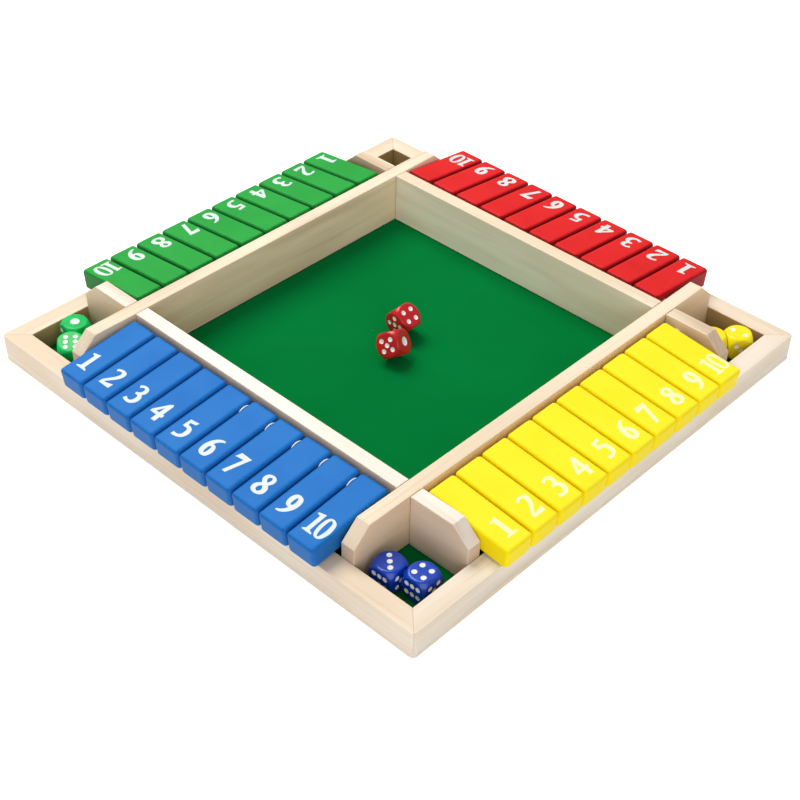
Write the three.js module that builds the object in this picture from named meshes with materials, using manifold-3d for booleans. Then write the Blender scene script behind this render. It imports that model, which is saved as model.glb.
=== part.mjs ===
// A four-player shut the box game: a square tray of pale wood with a sunken dice pit, four banks of
// ten flip-over number tiles on hinge rods, and two dice for each colour.
// Millimetres, +Z up, origin at the middle of the underside. The blue bank faces -Y, then yellow +X,
// red +Y and green -X: each bank is the blue one turned by a further quarter about +Z.

import * as THREE from 'three';
import { mergeVertices } from 'three/addons/utils/BufferGeometryUtils.js';
import Module from 'manifold-3d';

const wasm = await Module();
wasm.setup();

// Driving dimensions

const TILE = {
  count: 10,        // tiles in a bank
  width: 17.5,      // along the hinge rod
  gap: 1,           // between neighbours
  thickness: 12,
  overhang: 3.7,    // past the rail's outer face, along the tile
  edge: 1.2,        // radius of the edges along the rod
  sideEdge: 1.2,    // bevel of the edges round each side
};
const ROW = {
  endGap: 2.3,      // from the first and last tile of a centred bank to the end plates
};
const WALL = {
  thickness: 8.1,
  rise: 17.9,       // top of the pit walls and end plates over the rails
  cornerRun: 10,    // bevelled corner at the rail, along the plate
  cornerDrop: 9.3,  // bevelled corner at the rail, downwards
};
const TRAY = {
  side: 36,         // inside of each corner dice tray, and the width of each bank's channel
};
const RAIL = {
  width: 11.6,
  height: 13.1,     // over the base board
};
const BASE = {
  board: 2.5,       // thickness of the base board
  sheet: 0.4,       // thickness of the green lining
};
const ROD = {
  diameter: 4.5,
  setback: 8.8,     // from the pit wall's outer face to the rod's axis
  drop: 7.3,        // from the top of the wall down to the rod's axis
  seat: 5,          // depth of the blind holes that hold its ends
};
const DIE = {
  size: 14,
  margin: 0.73,     // from the rim of a flat round face to the edge of the cube round it
};
const CLEARANCE = {
  bore: 0.3,        // round a rod, in the tiles and in the plates
  sweep: 0.4,       // between the pit wall and a tile's inner end as it turns
  rest: 0.3,        // under a piece that only rests
};
const OVERRUN = 2;  // how far a cutting tool passes the face that it cuts

// Straight sides that stand for round ones. Each round edge of a tile gets twice its number.
const SEGMENTS = { rod: 16, bore: 12, edge: 1, die: 4 };

// Sizes and places that follow from them

const pitch = TILE.width + TILE.gap;
const pitHalf = (TILE.count * pitch - TILE.gap) / 2 + ROW.endGap;
const wallOuter = pitHalf + WALL.thickness;
const railInner = wallOuter + TRAY.side;
const boardHalf = railInner + RAIL.width;

const floorTop = BASE.board + BASE.sheet;
const railTop = BASE.board + RAIL.height;
const wallTop = railTop + WALL.rise;

const rodRadius = ROD.diameter / 2;
const rodOut = wallOuter + ROD.setback;
const rodHeight = wallTop - ROD.drop;
const rodHalf = pitHalf + ROD.seat - CLEARANCE.bore;
const holeRadius = rodRadius + CLEARANCE.bore;

const tileReach = boardHalf - rodOut + TILE.overhang;
const tileHeel = innerLength();
const tileTilt = restingTilt();

// The length from the rod's axis to the tile's inner end, whose edges pass the pit wall on a circle.
function innerLength() {
  const edgeCircle = ROD.setback - CLEARANCE.sweep - TILE.edge;
  const below = TILE.thickness / 2 - TILE.edge;
  return TILE.edge + Math.sqrt(edgeCircle ** 2 - below ** 2);
}

// The tile lies with its underside on the rail's outer top edge. With a the way out and b the way down
// from the rod's axis to that edge, b cos(t) - a sin(t) is half of the tile's thickness.
function restingTilt() {
  const out = boardHalf - rodOut;
  const down = rodHeight - railTop - CLEARANCE.rest;
  return Math.acos(TILE.thickness / 2 / Math.hypot(out, down)) - Math.atan2(out, down);
}

// Materials

const finish = (color, roughness) => new THREE.MeshStandardMaterial({ color, roughness, metalness: 0 });
const WOOD = finish(0xe9d3b0, 0.6);
const PALE_WOOD = finish(0xf3e6cd, 0.6);
const LINING = finish(0x0a6b35, 0.85);
const PAINT = {
  blue: finish(0x2f72c4, 0.45),
  yellow: finish(0xf7e017, 0.45),
  red: finish(0xc8202a, 0.45),
  green: finish(0x2e9c46, 0.45),
};
const RESIN = {
  blue: finish(0x12239e, 0.25),
  yellow: finish(0xf2d40c, 0.25),
  red: finish(0xa3101c, 0.25),
  green: finish(0x12b85a, 0.25),
};

// Solids

const X = new THREE.Vector3(1, 0, 0);
const Y = new THREE.Vector3(0, 1, 0);
const Z = new THREE.Vector3(0, 0, 1);

// A geometry with its shared corners merged, as a solid that can be cut.
function toSolid(geometry) {
  const bare = geometry.clone();
  bare.deleteAttribute('normal');
  bare.deleteAttribute('uv');
  const merged = mergeVertices(bare);
  return new wasm.Manifold(new wasm.Mesh({
    numProp: 3,
    vertProperties: Float32Array.from(merged.attributes.position.array),
    triVerts: Uint32Array.from(merged.index.array),
  }));
}

function toGeometry(solid) {
  const mesh = solid.getMesh();
  const geometry = new THREE.BufferGeometry();
  geometry.setAttribute('position', new THREE.BufferAttribute(Float32Array.from(mesh.vertProperties), 3));
  geometry.setIndex(new THREE.BufferAttribute(Uint32Array.from(mesh.triVerts), 1));
  const flat = geometry.toNonIndexed();
  flat.computeVertexNormals();
  return flat;
}

// A block from its lowest to its highest corner.
function block(low, high) {
  const size = new THREE.Vector3().subVectors(high, low);
  const middle = new THREE.Vector3().addVectors(low, high).multiplyScalar(0.5);
  return new THREE.BoxGeometry(size.x, size.y, size.z).translate(middle.x, middle.y, middle.z);
}

// A round bar along X, centred.
function bar(radius, length, segments) {
  return new THREE.CylinderGeometry(radius, radius, length, segments).rotateZ(Math.PI / 2);
}

// The blind hole for a rod's end, in the blue bank's frame: it starts inside the face at pitHalf, on
// the side that sign gives, and ends ROD.seat beyond it.
function seatHole(sign) {
  const length = ROD.seat + OVERRUN;
  const middle = pitHalf + ROD.seat - length / 2;
  return bar(holeRadius, length, SEGMENTS.rod).translate(sign * middle, -rodOut, rodHeight);
}

// Pieces

function baseBoard() {
  return block(
    new THREE.Vector3(-boardHalf, -boardHalf, 0),
    new THREE.Vector3(boardHalf, boardHalf, BASE.board),
  );
}

function floorSheet() {
  return block(
    new THREE.Vector3(-railInner, -railInner, BASE.board),
    new THREE.Vector3(railInner, railInner, floorTop),
  );
}

function squarePath(path, half) {
  path.moveTo(-half, -half);
  path.lineTo(half, -half);
  path.lineTo(half, half);
  path.lineTo(-half, half);
  path.closePath();
  return path;
}

function outerFrame() {
  const outline = squarePath(new THREE.Shape(), boardHalf);
  outline.holes.push(squarePath(new THREE.Path(), railInner));
  return new THREE.ExtrudeGeometry(outline, { depth: RAIL.height, bevelEnabled: false })
    .translate(0, 0, BASE.board);
}

// The corner that a wall or plate has cut off at its top where it meets the rail. The outline goes up
// along the rail, over the bevel and back along the top to the point start.
function bevelledEnd(outline, start) {
  outline.lineTo(railInner, floorTop);
  outline.lineTo(railInner, wallTop - WALL.cornerDrop);
  outline.lineTo(railInner - WALL.cornerRun, wallTop);
  outline.lineTo(start, wallTop);
}

// The low face of a pit wall on the side of the middle that sign gives.
function lowFace(sign) {
  return sign > 0 ? pitHalf : -wallOuter;
}

// A long wall stands along Y from rail to rail, so its bevelled ends are the blue and red banks' end
// plates. The outline's first axis is Y, and the wall is a half and its mirror image.
function longWall(sign) {
  const outline = new THREE.Shape();
  outline.moveTo(0, floorTop);
  bevelledEnd(outline, 0);
  const half = new THREE.ExtrudeGeometry(outline, { depth: WALL.thickness, bevelEnabled: false });
  half.applyMatrix4(new THREE.Matrix4().makeBasis(Y, Z, X).setPosition(lowFace(sign), 0, 0));
  const solid = toSolid(half);
  return solid.add(solid.mirror([0, 1, 0]));
}

function shortWall(sign) {
  const low = lowFace(sign);
  return block(
    new THREE.Vector3(-wallOuter, low, floorTop),
    new THREE.Vector3(wallOuter, low + WALL.thickness, wallTop),
  );
}

function pitFrame() {
  let frame = longWall(-1).add(longWall(1));
  for (const sign of [-1, 1]) {
    frame = frame.add(toSolid(shortWall(sign)));
  }
  for (const turn of [0, Math.PI]) {
    for (const sign of [-1, 1]) {
      frame = frame.subtract(toSolid(seatHole(sign).rotateZ(turn)));
    }
  }
  return toGeometry(frame);
}

// An end plate of the yellow and green banks, in the bank's own frame, beyond the last tile on the
// side that sign gives. The outline's first axis points out of the board.
function endPlate(sign) {
  const outline = new THREE.Shape();
  outline.moveTo(wallOuter, floorTop);
  bevelledEnd(outline, wallOuter);
  const plate = new THREE.ExtrudeGeometry(outline, { depth: WALL.thickness, bevelEnabled: false });
  const face = sign > 0 ? wallOuter : -pitHalf;
  const outwards = Y.clone().negate();
  const inwards = X.clone().negate();
  plate.applyMatrix4(new THREE.Matrix4().makeBasis(outwards, Z, inwards).setPosition(face, 0, 0));
  return toGeometry(toSolid(plate).subtract(toSolid(seatHole(sign))));
}

// A tile about its rod's axis, its outer end towards -Y: a bar with four round edges along the rod,
// bevelled round both sides, with the bore for the rod.
function tile() {
  const radius = TILE.edge;
  const top = TILE.thickness / 2;
  const outline = new THREE.Shape();
  outline.absarc(-tileHeel + radius, -top + radius, radius, Math.PI, 1.5 * Math.PI);
  outline.absarc(tileReach - radius, -top + radius, radius, 1.5 * Math.PI, 2 * Math.PI);
  outline.absarc(tileReach - radius, top - radius, radius, 0, 0.5 * Math.PI);
  outline.absarc(-tileHeel + radius, top - radius, radius, 0.5 * Math.PI, Math.PI);
  const bevel = TILE.sideEdge;
  const body = new THREE.ExtrudeGeometry(outline, {
    depth: TILE.width - 2 * bevel,
    curveSegments: SEGMENTS.edge,
    bevelEnabled: true,
    bevelSegments: 1,
    bevelSize: bevel,
    bevelOffset: -bevel,
    bevelThickness: bevel,
  });
  body.translate(0, 0, bevel - TILE.width / 2);
  body.applyMatrix4(new THREE.Matrix4().makeBasis(Y.clone().negate(), Z, X.clone().negate()));
  const bore = bar(holeRadius, TILE.width + 2 * OVERRUN, SEGMENTS.bore);
  return toGeometry(toSolid(body).subtract(toSolid(bore)));
}

// A die: six flat round faces on a ball. Each face of a cube is divided in four, so that its inner ring
// of points goes to the rim of the round face and its edges go to the ball.
function die() {
  const half = DIE.size / 2;
  const rim = half - DIE.margin;
  const ball = Math.hypot(half, rim);
  const cube = new THREE.BoxGeometry(
    DIE.size, DIE.size, DIE.size, SEGMENTS.die, SEGMENTS.die, SEGMENTS.die,
  );
  const { position, normal } = cube.attributes;
  const point = new THREE.Vector3();
  const outwards = new THREE.Vector3();
  for (let i = 0; i < position.count; i += 1) {
    point.fromBufferAttribute(position, i);
    outwards.fromBufferAttribute(normal, i);
    const across = point.clone().projectOnPlane(outwards);
    if (across.length() < rim) {
      point.addVectors(outwards.multiplyScalar(half), across.setLength(rim));
    } else {
      point.setLength(ball);
    }
    position.setXYZ(i, point.x, point.y, point.z);
  }
  return toGeometry(toSolid(cube));
}

// The dice lie in pairs, in corner trays and in the pit. well holds the signs of the tray's place, and
// turns holds each die's turns about X, then Y, then Z, in degrees. stepShares lead from the middle of
// the first die to the middle of the second, in die sizes. roomShares tell how much of the room left
// round the pair is on its -X and -Y sides.
const PAIRS = [
  {
    colour: 'blue', well: [1, -1], turns: [[0, 0, 2], [0, 0, 1]],
    stepShares: [1.057, 0.414], roomShares: [0.52, 0.29],
  },
  {
    colour: 'yellow', well: [1, 1], turns: [[0, 0, 50], [0, 0, 50]],
    stepShares: [-0.661, -0.788], roomShares: [0.96, 0.95],
  },
  {
    colour: 'red', well: [0, 0], turns: [[0, 41, 0], [-27, -29, 24]],
    stepShares: [0.807, -1.393], roomShares: [0.464, 0.52],
  },
  {
    colour: 'green', well: [-1, -1], turns: [[0, 0, -8], [15, 0, 50]],
    stepShares: [0.895, -0.865], roomShares: [0.05, 0.05],
  },
];

function add(parent, name, mesh) {
  mesh.name = name;
  parent.add(mesh);
}

function dieMesh(colour, turns, geometry) {
  const mesh = new THREE.Mesh(geometry, RESIN[colour]);
  const [x, y, z] = turns.map(THREE.MathUtils.degToRad);
  mesh.rotation.set(x, y, z, 'ZYX');
  const box = new THREE.Box3().setFromObject(mesh, true);
  mesh.position.z = floorTop + CLEARANCE.rest - box.min.z;
  return mesh;
}

// Where a pair's group goes along one axis, from the low and high ends of the pair's own extent.
function pairOffset(sign, roomShare, low, high) {
  const middle = sign * (wallOuter + TRAY.side / 2);
  const side = sign ? TRAY.side : 2 * pitHalf;
  const room = side - (high - low);
  return middle - side / 2 + room * roomShare - low;
}

function dicePair({ colour, well, turns, stepShares, roomShares }, geometry) {
  const pair = new THREE.Group();
  turns.forEach((dieTurns, index) => {
    const mesh = dieMesh(colour, dieTurns, geometry);
    mesh.position.x = index * stepShares[0] * DIE.size;
    mesh.position.y = index * stepShares[1] * DIE.size;
    add(pair, `${colour}_die_${index + 1}`, mesh);
  });
  const box = new THREE.Box3().setFromObject(pair, true);
  pair.position.x = pairOffset(well[0], roomShares[0], box.min.x, box.max.x);
  pair.position.y = pairOffset(well[1], roomShares[1], box.min.y, box.max.y);
  return pair;
}

// Assembly

const game = new THREE.Group();

add(game, 'base_board', new THREE.Mesh(baseBoard(), WOOD));
add(game, 'green_floor_sheet', new THREE.Mesh(floorSheet(), LINING));
add(game, 'outer_frame', new THREE.Mesh(outerFrame(), WOOD));
add(game, 'pit_frame', new THREE.Mesh(pitFrame(), PALE_WOOD));

const tileShape = tile();
const rodShape = bar(rodRadius, 2 * rodHalf, SEGMENTS.rod);
// slideShare tells how much of the end gap a bank's loose tiles have slid along their rod from the
// middle, towards the last of them.
const BANKS = [
  { colour: 'blue', slideShare: 0.1, ownPlates: false },
  { colour: 'yellow', slideShare: -0.7, ownPlates: true },
  { colour: 'red', slideShare: 0.8, ownPlates: false },
  { colour: 'green', slideShare: 0.4, ownPlates: true },
];

BANKS.forEach(({ colour, slideShare, ownPlates }, quarter) => {
  const bank = new THREE.Group();
  bank.rotation.z = quarter * Math.PI / 2;
  const rod = new THREE.Mesh(rodShape, PALE_WOOD);
  rod.position.set(0, -rodOut, rodHeight);
  add(bank, `${colour}_hinge_rod`, rod);
  for (let number = 1; number <= TILE.count; number += 1) {
    const flap = new THREE.Mesh(tileShape, PAINT[colour]);
    const along = (number - (TILE.count + 1) / 2) * pitch + slideShare * ROW.endGap;
    flap.position.set(along, -rodOut, rodHeight);
    flap.rotation.x = tileTilt;
    add(bank, `${colour}_tile_${number}`, flap);
  }
  if (ownPlates) {
    add(bank, `${colour}_end_plate_by_1`, new THREE.Mesh(endPlate(-1), WOOD));
    add(bank, `${colour}_end_plate_by_${TILE.count}`, new THREE.Mesh(endPlate(1), WOOD));
  }
  game.add(bank);
});

const dieShape = die();
for (const pair of PAIRS) {
  game.add(dicePair(pair, dieShape));
}

export default game;
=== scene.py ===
"""The four-player shut the box game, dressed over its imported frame.

Lengths are millimetres until a mesh is made, which is in metres. Banks are numbered as quarter turns
about +Z: the blue one faces -Y, then yellow +X, red +Y and green -X. Shapes that go on a rod are made
about it: X along the rod, then Y out along a tile and Z up from its face.
"""
import logging
import math
from dataclasses import dataclass, field, replace
from enum import Enum

import bpy
import numpy as np
from mathutils import Matrix, Vector
from mathutils.geometry import delaunay_2d_cdt


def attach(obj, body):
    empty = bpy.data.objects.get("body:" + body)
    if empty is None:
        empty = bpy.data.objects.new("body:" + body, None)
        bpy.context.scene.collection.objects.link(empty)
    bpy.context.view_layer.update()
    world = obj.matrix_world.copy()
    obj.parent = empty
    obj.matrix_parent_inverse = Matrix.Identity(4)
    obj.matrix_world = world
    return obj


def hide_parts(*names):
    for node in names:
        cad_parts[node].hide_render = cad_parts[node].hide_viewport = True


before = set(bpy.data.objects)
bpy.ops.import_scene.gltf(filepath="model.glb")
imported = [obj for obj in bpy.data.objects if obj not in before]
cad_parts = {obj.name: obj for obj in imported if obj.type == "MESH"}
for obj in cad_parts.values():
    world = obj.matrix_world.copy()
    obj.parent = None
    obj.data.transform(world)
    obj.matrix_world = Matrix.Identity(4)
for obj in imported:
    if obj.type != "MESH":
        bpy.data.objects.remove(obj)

MM = 0.001
LOG = logging.getLogger("shut_the_box")
# How far beyond a rounded edge an extra ring lies, so that the flat beside it is shaded flat.
MARGIN = 0.06


class Bank(Enum):
    """A bank of tiles: its value is its number of quarter turns from the blue one."""

    blue = 0
    yellow = 1
    red = 2
    green = 3


class Span(Enum):
    """What a standing board reaches between: an end at a rail has its top corner cut off."""

    RAIL_TO_RAIL = "long wall"
    WALL_TO_WALL = "short wall"
    WALL_TO_RAIL = "end plate"


# Sizes, as in the part's source


# How much of the end gap each bank's loose tiles have slid along their rod, towards the tenth.
SLIDE_SHARES = {Bank.blue: 0.1, Bank.yellow: -0.7, Bank.red: 0.8, Bank.green: 0.4}


@dataclass(frozen=True)
class BoardPlan:
    """The sizes of the board, and the places that follow from them."""

    pit_half: float = 94.3
    wall: float = 8.1
    tray: float = 36.0
    rail_width: float = 11.6
    floor_top: float = 2.9
    rail_foot: float = 2.5
    rail_top: float = 15.6
    wall_top: float = 33.5
    corner_run: float = 10.0
    corner_drop: float = 9.3
    rod_setback: float = 8.8
    rod_height: float = 26.2
    rod_seat: float = 4.7
    rod_radius: float = 2.25
    tiles: int = 10
    pitch: float = 18.5
    end_gap: float = 2.3

    @property
    def wall_outer(self) -> float:
        """The outer face of the pit walls."""
        return self.pit_half + self.wall

    @property
    def rail_inner(self) -> float:
        """The inner face of the rails."""
        return self.wall_outer + self.tray

    @property
    def board_half(self) -> float:
        """The outer face of the rails."""
        return self.rail_inner + self.rail_width

    @property
    def rod_out(self) -> float:
        """How far a rod's axis is from the middle of the board."""
        return self.wall_outer + self.rod_setback

    def along(self, bank: Bank, number: float) -> float:
        """Where a tile's middle is along its rod; half a number more is the gap after the tile."""
        return (number - (1 + self.tiles) / 2) * self.pitch + SLIDE_SHARES[bank] * self.end_gap

    def on_rod(self, bank: Bank, along: float, turn: np.ndarray) -> tuple:
        """The rotation and the shift that put a shape, once turned, at a place along a bank's rod."""
        turned = quarter_turns(bank.value)
        return turned @ turn, turned @ (along, -self.rod_out, self.rod_height)


PLAN = BoardPlan()


# Surfaces


def linked(name: str, data: bpy.types.ID) -> bpy.types.Object:
    """Puts a mesh, camera or lamp into the scene.

    Args:
        name: of the object.
        data: what it shows.

    Returns:
        The new object.
    """
    thing = bpy.data.objects.new(name, data)
    bpy.context.scene.collection.objects.link(thing)
    return thing


@dataclass
class Shell:
    """A closed surface: its points in millimetres, its faces, and the marks kept at each point."""

    points: np.ndarray
    faces: list
    marks: dict = field(default_factory=dict)
    smooth: bool = True

    def moved(self, turn: np.ndarray, shift: np.ndarray) -> "Shell":
        """The same surface, each point turned by a 3 by 3 matrix and then shifted."""
        return replace(self, points=self.points @ turn.T + shift)

    def volume(self) -> float:
        """Six times the enclosed volume: each face is a fan of triangles, whose triple products are summed.

        Returns:
            The signed sum, positive where the faces point outwards.
        """
        total = 0.0
        for block in self.faces:
            corners = self.points[np.asarray(block)]
            first = corners[:, 0]
            for k in range(1, corners.shape[1] - 1):
                total += np.einsum("ij,ij->", first, np.cross(corners[:, k], corners[:, k + 1]))
        return float(total)

    def to_piece(self, name: str, finish: bpy.types.Material, body: str,
                 node: str = "", slot: str = "") -> bpy.types.Object:
        """Makes the piece, with its faces outwards and its marks as point attributes.

        Args:
            name: of the piece.
            finish: its material.
            body: what it rides on.
            node: the CAD node that it stands for, if any.
            slot: that node's material slot; not used.

        Returns:
            The piece, at the origin.
        """
        order = 1 if self.volume() > 0 else -1
        faces = [tuple(face[::order]) for block in self.faces for face in np.asarray(block).tolist()]
        mesh = bpy.data.meshes.new(name)
        mesh.from_pydata((self.points * MM).tolist(), [], faces)
        mesh.polygons.foreach_set("use_smooth", np.full(len(mesh.polygons), self.smooth))
        for mark, values in self.marks.items():
            kind, entry = ("FLOAT_VECTOR", "vector") if values.ndim == 2 else ("FLOAT", "value")
            layer = mesh.attributes.new(mark, kind, "POINT")
            layer.data.foreach_set(entry, np.ascontiguousarray(values, np.float32).ravel())
        mesh.materials.append(finish)
        mesh.update()
        piece = linked(name, mesh)
        if node:
            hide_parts(node)
        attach(piece, body)
        return piece


def grid_faces(rows: int, columns: int, closed_rows: bool = False) -> np.ndarray:
    """The quads of a grid whose columns close on themselves.

    Args:
        rows: number of rings.
        columns: number of points in a ring.
        closed_rows: whether the last ring joins the first.

    Returns:
        An array of point numbers, four to a face.
    """
    row = np.arange(rows if closed_rows else rows - 1)[:, None]
    column = np.arange(columns)[None, :]
    above, beside = (row + 1) % rows, (column + 1) % columns
    quads = np.stack([row * columns + column, row * columns + beside,
                      above * columns + beside, above * columns + column], -1)
    return quads.reshape(-1, 4)


def capped(rings: np.ndarray) -> list:
    """The faces of a pile of rings, closed by one flat face at each end.

    Args:
        rings: points, as rows by columns by 3.

    Returns:
        The quads, then the two end faces.
    """
    rows, columns = rings.shape[:2]
    first = np.arange(columns)[::-1][None, :]
    last = (rows - 1) * columns + np.arange(columns)[None, :]
    return [grid_faces(rows, columns), first, last]


def rectangle(left: float, right: float, foot: float, top: float) -> np.ndarray:
    """The corners of a rectangle, anticlockwise from its lower left."""
    return np.array([[left, foot], [right, foot], [right, top], [left, top]])


def rounded_outline(corners: np.ndarray, radii: np.ndarray, steps: int) -> tuple:
    """A convex outline, anticlockwise, with its corners rounded.

    At each corner the arc's centre is one radius inside both sides, and the arc sweeps from the normal
    of the side before to the normal of the side after. A point just before and after each arc keeps
    the shading of the flat sides flat.

    Args:
        corners: n by 2 points.
        radii: n radii.
        steps: pieces in each arc.

    Returns:
        The outline's points and its outward normals, each as m by 2.
    """
    before = corners - np.roll(corners, 1, 0)
    before /= np.linalg.norm(before, axis=1, keepdims=True)
    after = np.roll(before, -1, 0)
    angle = np.arctan2(-before[:, 0], before[:, 1])
    turn = np.arctan2(before[:, 0] * after[:, 1] - before[:, 1] * after[:, 0], (before * after).sum(1))
    normal = np.stack([before[:, 1], -before[:, 0]], 1)
    back = radii * np.tan(turn / 2)
    centre = corners - before * back[:, None] - normal * radii[:, None]
    sweep = angle[:, None] + turn[:, None] * np.linspace(0, 1, steps + 1)
    spoke = np.stack([np.cos(sweep), np.sin(sweep)], -1)
    arc = centre[:, None] + radii[:, None, None] * spoke
    lead = arc[:, :1] - before[:, None] * MARGIN
    trail = arc[:, -1:] + after[:, None] * MARGIN
    points = np.concatenate([lead, arc, trail], 1).reshape(-1, 2)
    normals = np.concatenate([spoke[:, :1], spoke, spoke[:, -1:]], 1).reshape(-1, 2)
    return points, normals


def edge_rows(half: float, radius: float, steps: int) -> tuple:
    """The rings across a slab whose two rims are rounded by quarter circles.

    Going across, the ring is drawn in by radius times one minus the cosine of the quarter's angle,
    and stands at the half thickness less radius times one minus its sine.

    Args:
        half: half of the thickness.
        radius: of the rims.
        steps: pieces in each quarter.

    Returns:
        For each ring its place across, how far it is drawn in, and the angle of its normal.
    """
    quarter = np.linspace(0, math.pi / 2, steps + 1)
    place = half - radius + radius * np.sin(quarter)
    place = np.concatenate([[half - radius - MARGIN], place, [half]])
    inset = np.concatenate([[0.0], radius * (1 - np.cos(quarter)), [radius + MARGIN]])
    lean = np.concatenate([[0.0], quarter, [math.pi / 2]])
    return (np.concatenate([-place[::-1], place]), np.concatenate([inset[::-1], inset]),
            np.concatenate([-lean[::-1], lean]))


def plank(corners: np.ndarray, radii: np.ndarray, half: float, edge: float, pith: tuple) -> Shell:
    """A board cut to an outline, with fine rounded edges: rings of the outline carried across it.

    Args:
        corners: the outline's corners, its first axis along the grain.
        radii: how far each corner is rounded.
        half: half of the board's thickness, on the third axis.
        edge: radius of the fine rounding round both faces.
        pith: offset of the tree's middle from the board, so that each board has its own rings.

    Returns:
        The board in its own axes, with its grain place, end grain and broad sides as marks.
    """
    outline, normals = rounded_outline(corners, radii, steps=5)
    across, inset, lean = edge_rows(half, edge, steps=4)
    ring = outline[None] - normals[None] * inset[:, None, None]
    depth = np.broadcast_to(across[:, None, None], ring.shape[:2] + (1,))
    rings = np.concatenate([ring, depth], -1)
    along = np.abs(normals[None, :, 0] * np.cos(lean)[:, None])
    broad = np.broadcast_to(np.abs(np.sin(lean))[:, None], along.shape)
    points = rings.reshape(-1, 3)
    # The side mark is where the side tone, painted light and shade, shows.
    marks = {"grain": points + pith, "end_grain": along.ravel(), "side": broad.ravel()}
    return Shell(points, capped(rings), marks)


def lathe(across: np.ndarray, radius: np.ndarray, steps: int) -> np.ndarray:
    """A section turned about X: for each of its points a circle, as far out as the point's radius.

    Args:
        across: the points' places along X.
        radius: the points' distances from X.
        steps: points in each circle.

    Returns:
        The circles, as rows by columns by 3.
    """
    angle = np.linspace(0, 2 * math.pi, steps, endpoint=False)
    place = np.broadcast_to(across[:, None], (len(across), steps))
    return np.stack([place, radius[:, None] * np.cos(angle), radius[:, None] * np.sin(angle)], -1)


def basis(first: tuple, second: tuple, third: tuple) -> np.ndarray:
    """The matrix that takes the three axes to these three directions."""
    return np.array([first, second, third], float).T


def quarter_turns(count: int) -> np.ndarray:
    """The rotation about +Z by a number of quarter turns."""
    cosine, sine = [(1, 0), (0, 1), (-1, 0), (0, -1)][count % 4]
    return basis((cosine, sine, 0), (-sine, cosine, 0), (0, 0, 1))


# Shaders


class Nodes:
    """A small writer for one node tree."""

    def __init__(self, tree: bpy.types.NodeTree) -> None:
        """Takes the tree that nodes are added to, and empties it."""
        self.tree = tree
        tree.nodes.clear()

    def add(self, kind: str, inputs: dict | None = None, **settings: object) -> bpy.types.Node:
        """Adds a node, sets its properties, and fills or links its inputs.

        Args:
            kind: the node's type name.
            inputs: for each input's name or number, a value or an output socket.
            settings: properties of the node.

        Returns:
            The node.
        """
        node = self.tree.nodes.new(kind)
        for key, value in settings.items():
            setattr(node, key, value)
        for key, value in (inputs or {}).items():
            if isinstance(value, bpy.types.NodeSocket):
                self.tree.links.new(value, node.inputs[key])
            else:
                node.inputs[key].default_value = value
        return node

    def math(self, operation: str, *terms: object) -> bpy.types.NodeSocket:
        """A Math node's result, from numbers and sockets."""
        return self.add("ShaderNodeMath", dict(enumerate(terms)), operation=operation).outputs[0]

    def product(self, one: object, other: object) -> bpy.types.NodeSocket:
        """One number or socket times another."""
        return self.math("MULTIPLY", one, other)

    def line(self, value: object, slope: float, start: object) -> bpy.types.NodeSocket:
        """A value times the slope, plus the start."""
        return self.math("MULTIPLY_ADD", value, slope, start)

    def ramp(self, value: object, low: float, high: float, most: float = 1.0) -> bpy.types.NodeSocket:
        """Runs smoothly from 0 where the value is low to the most where it is high."""
        inputs = {"Value": value, "From Min": low, "From Max": high, "To Max": most}
        return self.add("ShaderNodeMapRange", inputs, interpolation_type="SMOOTHSTEP").outputs[0]

    def layers(self, colour: object, *over: tuple) -> bpy.types.NodeSocket:
        """A colour with others mixed over it in turn. A Mix node's colours are its inputs 6 and 7.

        Args:
            colour: the lowest one, a colour or a socket.
            over: for each of the others, how much of it shows, and the colour.

        Returns:
            The colour socket.
        """
        for share, other in over:
            colour = self.add("ShaderNodeMix", {0: share, 6: colour, 7: other}, data_type="RGBA").outputs[2]
        return colour

    def noise(self, place: object, scale: object, detail: float, rough: float = 0.5) -> bpy.types.NodeSocket:
        """Noise about one half, from a place, its waves in a unit, its octaves and their falling off."""
        inputs = {"Vector": place, "Scale": scale, "Detail": detail, "Roughness": rough}
        return self.add("ShaderNodeTexNoise", inputs).outputs[0]

    def stretched(self, place: object, along: float, across: float) -> bpy.types.NodeSocket:
        """A place with its distance along the grain, X, and those across it each multiplied."""
        return self.add("ShaderNodeMapping", {"Vector": place, "Scale": (along, across, across)}).outputs[0]

    def mark(self, name: str, output: str = "Fac") -> bpy.types.NodeSocket:
        """A mark kept at the points of a shell."""
        return self.add("ShaderNodeAttribute", attribute_name=name).outputs[output]

    def here(self) -> bpy.types.NodeSocket:
        """The place on the piece, in metres."""
        return self.add("ShaderNodeTexCoord").outputs["Object"]

    def effect(self, tree: bpy.types.NodeTree, **inputs: object) -> bpy.types.bpy_prop_collection:
        """The outputs of a shared effect, whose inputs are given by name."""
        return self.add("ShaderNodeGroup", inputs, node_tree=tree).outputs

    def strength(self, usual: float, seen: float, *rays: str) -> bpy.types.NodeSocket:
        """A light's strength, which is another for some kinds of ray.

        Args:
            usual: the strength for all other rays.
            seen: the strength for the rays that are named.
            rays: outputs of the Light Path node.

        Returns:
            The value socket.
        """
        path = self.add("ShaderNodeLightPath").outputs
        named = path[rays[0]]
        for ray in rays[1:]:
            named = self.math("MAXIMUM", named, path[ray])
        return self.line(named, seen - usual, usual)


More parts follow.
